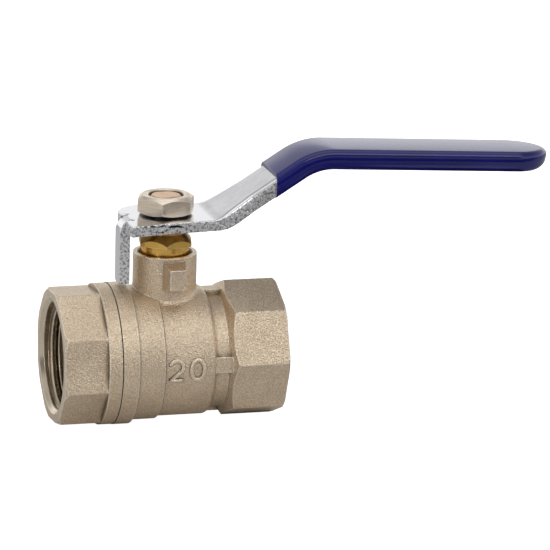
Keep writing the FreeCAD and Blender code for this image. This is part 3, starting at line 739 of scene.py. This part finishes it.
def lever_plate():
    """Lever with edges rolled down along its arm and torn grain on its sheared faces."""
    plate = new_object("lever_plate", nodes["lever"].data.copy())
    remesh = plate.modifiers.new("remesh", "REMESH")
    remesh.mode = "VOXEL"
    remesh.voxel_size = LEVER_VOXEL
    remesh.adaptivity = 0.0
    depsgraph = bpy.context.evaluated_depsgraph_get()
    solid = bpy.data.meshes.new_from_object(plate.evaluated_get(depsgraph))
    plate.modifiers.clear()
    plate.data = solid
    solid.name = "lever_plate"
    count = len(solid.vertices)
    co = np.zeros(count * 3)
    solid.vertices.foreach_get("co", co)
    co = co.reshape(-1, 3)
    normal = np.zeros(count * 3)
    solid.vertices.foreach_get("normal", normal)
    normal = normal.reshape(-1, 3)
    top, slope = line_at(co[:, 0])
    depth = (top - co[:, 2]) * np.cos(slope)
    facing = normal[:, 2] * np.cos(slope) - normal[:, 0] * np.sin(slope)
    on_plate = depth < PLATE_REACH

    flat_top = on_plate & (np.abs(depth) < SNAP_REACH) & (facing > FLAT_FACING)
    co[flat_top, 2] = top[flat_top]
    flat_under = on_plate & (np.abs(depth - PLATE) < SNAP_REACH) & (facing < -FLAT_FACING)
    co[flat_under, 2] = top[flat_under] - PLATE / np.cos(slope[flat_under])

    half_width = np.interp(co[:, 0], [BEND_WIDTH_X, ARM_START_X],
                           [BEND_HALF_WIDTH, ARM_HALF_WIDTH])
    inset = np.clip(half_width - np.abs(co[:, 1]), 0.0, ROLL_R)
    share = np.clip((co[:, 0] - ROLL_START_X) / (ROLL_FULL_X - ROLL_START_X), 0.0, 1.0)
    drop = ROLL_R - np.sqrt(ROLL_R ** 2 - (ROLL_R - inset) ** 2)
    drop *= share * share * (3 - 2 * share)
    drop *= np.clip(1.0 - depth / ARM_DEPTH, 0.0, 1.0)
    co[:, 2] -= np.where(co[:, 0] > ROLL_START_X, drop, 0.0)

    torn = np.clip((TORN_FACING - np.abs(facing)) / TORN_FADE, 0.0, 1.0)
    on_tab = (co[:, 0] < TAB_ROOT_X) & (co[:, 1] > TAB_FRONT_Y) & (co[:, 1] < TAB_BACK_Y)
    tab_cut = np.maximum(np.abs(normal[:, 1]), np.where(co[:, 2] < TAB_CUT_Z, -normal[:, 2], 0.0))
    tab_torn = np.clip((tab_cut - TAB_TORN_FACING) / TORN_FADE, 0.0, 1.0)
    torn = np.where(on_tab, tab_torn, torn)
    for index in np.nonzero(torn > 0.0)[0]:
        place = Vector(co[index]) / SHEAR_GRAIN_SIZE
        lift = noise.fractal(place, 1.0, 2.0, SHEAR_OCTAVES) * SHEAR_GRAIN * torn[index]
        co[index] += normal[index] * lift
    solid.vertices.foreach_set("co", co.ravel())
    solid.update()
    solid.polygons.foreach_set("use_smooth", [True] * len(solid.polygons))
    dress(plate, polished_zinc(), sheared_zinc())
    verts = np.zeros(len(solid.loops), dtype=np.int32)
    solid.loops.foreach_get("vertex_index", verts)
    starts = np.zeros(len(solid.polygons), dtype=np.int32)
    solid.polygons.foreach_get("loop_start", starts)
    face_torn = np.add.reduceat(torn[verts], starts) / np.diff(np.append(starts, len(verts)))
    solid.polygons.foreach_set("material_index", (face_torn > 0.5).astype(np.int32))
    solid.update()
    return plate


# ---------------------------------------------------------------- grip

def rounded_line(corners):
    """Open line through (across, down, radius) corners, with its inner corners as arcs."""
    line = [Vector(corners[0][:2])]
    for index in range(1, len(corners) - 1):
        here = Vector(corners[index][:2])
        back = (Vector(corners[index - 1][:2]) - here).normalized()
        ahead = (Vector(corners[index + 1][:2]) - here).normalized()
        half = back.angle(ahead) / 2
        radius = corners[index][2]
        trim = radius / math.tan(half)
        centre = here + (back + ahead).normalized() * radius / math.sin(half)
        first = here + back * trim - centre
        turn = math.pi - 2 * half
        last = here + ahead * trim - centre
        sign = 1.0 if first.x * last.y - first.y * last.x > 0 else -1.0
        for step in range(GRIP_CORNER_STEPS + 1):
            angle = sign * turn * step / GRIP_CORNER_STEPS
            line.append(centre + Vector((first.x * math.cos(angle) - first.y * math.sin(angle),
                                         first.x * math.sin(angle) + first.y * math.cos(angle))))
    line.append(Vector(corners[-1][:2]))
    return line


def grip_section(half_width, top, bottom, channel, edge_r, bulge):
    """Half of the grip's cross-section, from the top's middle round to the bottom's middle."""
    waist = (bottom - top) * GRIP_WAIST
    corners = [(0.0, -top, 0.0), (half_width - bulge, -top, edge_r),
               (half_width, waist, GRIP_SIDE_R),
               (half_width - bulge, bottom, edge_r * GRIP_UNDER_EDGE),
               (GRIP_CHANNEL_MOUTH, bottom, GRIP_CHANNEL_R),
               (GRIP_CHANNEL_FOOT, channel, GRIP_CHANNEL_R), (0.0, channel, 0.0)]
    return rounded_line(corners)


def grip_stations():
    """Distances along the lever's top line, from the mouth to the start of the rounded tip."""
    start = distance_at(GRIP_MOUTH_X)
    end = distance_at(GRIP_TIP_X - GRIP_TIP_REACH)
    return [start + (end - start) * (step / GRIP_STATIONS) for step in range(GRIP_STATIONS + 1)]


def grip_shell(section):
    """Rows of points: the half-section along the front, round the tip and back along the rear."""
    stations = grip_stations()
    rows = []
    for side, order in ((-1, stations), (1, stations[::-1])):
        for distance in order:
            x, z, slope = lever_line(distance)
            mouth_share = 1.0 - smoothstep(0.0, GRIP_MOUTH_BLEND, distance - stations[0])
            lean = mouth_share * math.tan(slope)
            row = []
            for across, down in section:
                ahead = -lean * down
                row.append((x + down * math.sin(slope) + ahead * math.cos(slope), side * across,
                            z - down * math.cos(slope) + ahead * math.sin(slope)))
            rows.append(row)
        if side < 0:
            x, z, slope = lever_line(stations[-1])
            for step in range(1, GRIP_TIP_STEPS):
                angle = math.pi * step / GRIP_TIP_STEPS
                row = []
                side_share = abs(math.cos(angle)) ** GRIP_TIP_TAPER
                side_share = -math.copysign(side_share, math.cos(angle))
                for across, down in section:
                    ahead = math.sin(angle) * across * GRIP_TIP_REACH / GRIP_HALF_WIDTH
                    lift = GRIP_TIP_LIFT * (ahead / GRIP_TIP_REACH) ** 4
                    depth = down - lift * max(down, 0.0) / ARM_DEPTH
                    row.append((x + depth * math.sin(slope) + ahead * math.cos(slope),
                                side_share * across,
                                z - depth * math.cos(slope) + ahead * math.sin(slope)))
                rows.append(row)
    return rows


def grip_sleeve():
    """Dipped sleeve: a thin skin inside and out, joined by a rounded lip at the mouth."""
    outer = grip_section(GRIP_HALF_WIDTH, GRIP_TOP_SKIN, ARM_DEPTH + GRIP_SKIN, PLATE + GRIP_SKIN,
                         GRIP_EDGE_R, GRIP_BULGE)
    inner = grip_section(ARM_HALF_WIDTH + GRIP_INNER_GAP, GRIP_INNER_GAP, ARM_DEPTH,
                         PLATE + GRIP_INNER_GAP, ROLL_R, GRIP_INNER_BULGE)
    points = []
    faces = []
    shells = []
    for section in (outer, inner):
        rows = grip_shell(section)
        first = len(points)
        for row in rows:
            points.extend(row)
        shells.append((first, len(rows), len(section)))
        for index in range(len(rows) - 1):
            for side in range(len(section) - 1):
                near = first + index * len(section) + side
                far = near + len(section)
                faces.append((near, near + 1, far + 1, far))
    width = len(outer)
    for row in (0, shells[0][1] - 1):
        for side in range(width - 1):
            out = shells[0][0] + row * width + side
            into = shells[1][0] + row * width + side
            faces.append((out, out + 1, into + 1, into))
    piece = mesh_piece("grip_sleeve", points, faces)
    bevel = piece.modifiers.new("lip", "BEVEL")
    bevel.width = GRIP_LIP
    bevel.segments = 3
    bevel.limit_method = "ANGLE"
    bevel.angle_limit = math.radians(55)
    return piece


# ---------------------------------------------------------------- stage and light

def make_floor():
    """Floor that is plain white to the camera and lighter and darker in places to reflections."""
    corners = [(-FLOOR_HALF, -FLOOR_HALF), (FLOOR_HALF, -FLOOR_HALF), (FLOOR_HALF, FLOOR_HALF),
               (-FLOOR_HALF, FLOOR_HALF)]
    mesh = bpy.data.meshes.new("floor")
    mesh.from_pydata([(x, y, FLOOR_Z) for x, y in corners], [], [(0, 1, 2, 3)])
    floor = new_object("floor", mesh)
    look = Look("pale_floor", (0.9, 0.9, 0.9), 0.9, Specular_IOR_Level=0.0,
                Emission_Color=(1.0, 1.0, 1.0, 1.0))
    strip = look.near_place("Y", STRIP_Y, STRIP_HALF_WIDTH)
    lit = look.math("MULTIPLY", strip, STRIP_TONE)
    for change in (LIGHT_UNDER_VALVE, LIGHT_PAST_LEVER, LIGHT_BEHIND):
        lit = look.math("MAXIMUM", lit, look.change_along(*change))
    look.link(look.math("MULTIPLY", look.change_along(*DARK_IN_FRONT), lit), "Base Color")
    patch = look.math("MULTIPLY", look.near_place("X", PATCH_X, PATCH_HALF_LENGTH),
                      look.near_place("Y", PATCH_Y, PATCH_HALF_WIDTH))
    glow = look.math("MAXIMUM", look.math("MULTIPLY", strip, look.change_along(*STRIP_END)),
                     look.math("MULTIPLY", patch, PATCH_GLOW))
    seen = look.node("ShaderNodeLightPath").outputs["Is Camera Ray"]
    look.link(look.mix(seen, glow, (1.0, 1.0, 1.0)), "Emission Strength")
    dress(floor, look.finish())


def make_sky():
    """Studio walls, brightest low down; the front one is dark from the camera's height up."""
    world = bpy.data.worlds.new("studio")
    scene.world = world
    world.use_nodes = True
    tree = world.node_tree
    background = tree.nodes["Background"]
    parts = tree.nodes.new("ShaderNodeSeparateXYZ")
    tree.links.new(tree.nodes.new("ShaderNodeTexCoord").outputs["Generated"], parts.inputs[0])
    rear = ramp_node(tree, parts.outputs["Z"], REAR_WALLS)
    front = ramp_node(tree, parts.outputs["Z"], FRONT_WALL)
    facing = tree.nodes.new("ShaderNodeVectorMath")
    facing.operation = "DOT_PRODUCT"
    tree.links.new(parts.inputs[0].links[0].from_socket, facing.inputs[0])
    facing.inputs[1].default_value = (-math.sin(FRONT_WALL_AZIMUTH),
                                      -math.cos(FRONT_WALL_AZIMUTH), 0.0)
    to_rear = ramp_node(tree, facing.outputs["Value"], FRONT_TO_REAR)
    blend = tree.nodes.new("ShaderNodeMix")
    blend.data_type = "RGBA"
    tree.links.new(to_rear, blend.inputs[0])
    tree.links.new(front, blend.inputs[6])
    tree.links.new(rear, blend.inputs[7])
    tree.links.new(blend.outputs[2], background.inputs["Color"])
    background.inputs["Strength"].default_value = WALL_STRENGTH


def softbox(name, azimuth_deg, elevation_deg, distance, width, height, radiance):
    """Area light that faces the origin; its power follows from its radiance."""
    data = bpy.data.lights.new(name, "AREA")
    data.shape = "RECTANGLE"
    data.size = width
    data.size_y = height
    data.energy = radiance * math.pi * width * height
    light = bpy.data.objects.new(name, data)
    scene.collection.objects.link(light)
    azimuth = math.radians(azimuth_deg)
    elevation = math.radians(elevation_deg)
    light.location = (-math.sin(azimuth) * math.cos(elevation) * distance,
                      -math.cos(azimuth) * math.cos(elevation) * distance,
                      math.sin(elevation) * distance)
    light.rotation_euler = (-Vector(light.location)).to_track_quat("-Z", "Y").to_euler()


# ---------------------------------------------------------------- the valve

make_camera()
make_floor()
make_sky()
for box in SOFTBOXES:
    softbox(*box)
scene.view_settings.view_transform = "Standard"

nickel = blasted_nickel("blasted_nickel")
for name in ("body", "end_cap"):
    dress(nodes[name], nickel)
# After the axis comes the tone painted at the edges: a highlight on the ball, the gland nut and
# the lever nut, shade on the stem.
dress(nodes["ball"], turned_metal(
    "chromed_ball", (0.70, 0.70, 0.72), (0.82, 0.82, 0.84), 0.08, "X", (0.86, 0.86, 0.88)))
dress(nodes["stem"], turned_metal(
    "stem_brass", (0.78, 0.50, 0.30), (0.88, 0.60, 0.38), 0.3, "Z", (0.42, 0.25, 0.08)))
dress(nodes["gland_nut"], turned_metal(
    "gland_brass", (0.72, 0.42, 0.09), (0.90, 0.56, 0.145), 0.2, "Z", (1.0, 0.76, 0.34),
    cone_reach=GLAND_CONE_REACH))
dress(nodes["lever_nut"], turned_metal(
    "nut_nickel", (0.90, 0.76, 0.61), (0.97, 0.83, 0.68), 0.32, "Z", (1.0, 0.98, 0.94),
    shade_top_z=NUT_SHADE_TOP_Z, gap_r=STEM_R))
ptfe = waxy_ptfe()
for name in ("seat_ring_body_end", "seat_ring_cap_end", "body_joint_gasket", "stem_thrust_washer",
             "packing_bottom_adapter", "packing_v_ring", "packing_top_adapter"):
    dress(nodes[name], ptfe)
dress(nodes["stem_o_ring"], black_rubber())

cut_thread = thread_nickel()
cap_end_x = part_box("end_cap")[0].x
body_end_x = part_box("body")[1].x
thread_span = THREAD_TURNS * THREAD_PITCH
for name, start_x in (("thread_cap_end", cap_end_x + THREAD_INSET),
                      ("thread_body_end", body_end_x - THREAD_INSET - thread_span)):
    thread = port_thread(name, start_x)
    dress(thread, cut_thread)
    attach(thread, "housing")

numerals = size_numerals()
dress(numerals, blasted_nickel("numeral_nickel", relief_r=BARREL_R))
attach(numerals, "housing")

plate = lever_plate()
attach(plate, "operator")
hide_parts("lever")

sleeve = grip_sleeve()
dress(sleeve, dipped_pvc())
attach(sleeve, "operator")
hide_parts("lever_grip")
